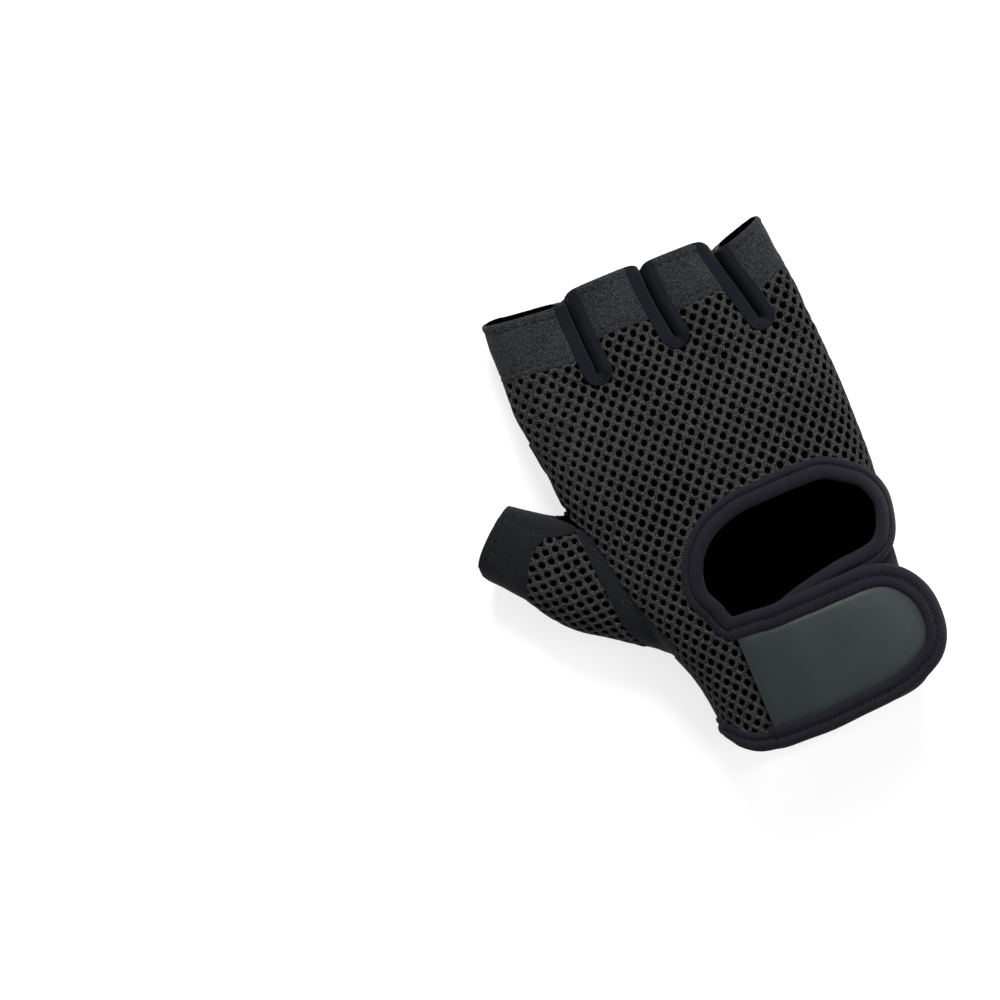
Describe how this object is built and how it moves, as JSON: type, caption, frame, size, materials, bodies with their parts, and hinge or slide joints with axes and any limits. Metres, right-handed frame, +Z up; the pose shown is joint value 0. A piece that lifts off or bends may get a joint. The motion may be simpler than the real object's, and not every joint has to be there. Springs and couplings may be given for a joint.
{
  "type": "weightlifting glove",
  "caption": "Half-finger right-hand gym glove with open mesh back, vent, padded suede palm and a wrapped wrist strap.",
  "frame": {"origin": "middle of the glove's outline in plan, on the surface that its padded palm lies on", "axes": "+Y towards the fingertips, +X towards the little-finger side, +Z up out of the back of the hand"},
  "size_m": [0.1256, 0.1566, 0.0411],
  "materials": {
    "air_mesh": "open air mesh over a black backing",
    "suede": "matt synthetic suede",
    "stretch_fabric": "smooth stretch knit",
    "binding_tape": "ribbed binding tape",
    "loop_fabric": "brushed loop fabric",
    "strap_patch": "satin moulded patch"
  },
  "bodies": {
    "root": {"back_mesh": "air_mesh", "under_tab": "loop_fabric", "index_band": "suede", "middle_band": "suede", "ring_band": "suede", "little_band": "suede", "fourchette_index_middle": "stretch_fabric", "fourchette_middle_ring": "stretch_fabric", "fourchette_ring_little": "stretch_fabric", "vent_binding": "binding_tape", "hem_binding": "binding_tape", "thumb_mesh": "air_mesh", "thumb_band": "suede", "side_strip": "suede", "thumb_palm": "suede", "thumb_gusset": "suede", "palm_panel": "suede", "palm_pad": "suede", "strap": "loop_fabric", "strap_patch": "strap_patch", "strap_binding": "binding_tape"}
  },
  "joints": []
}
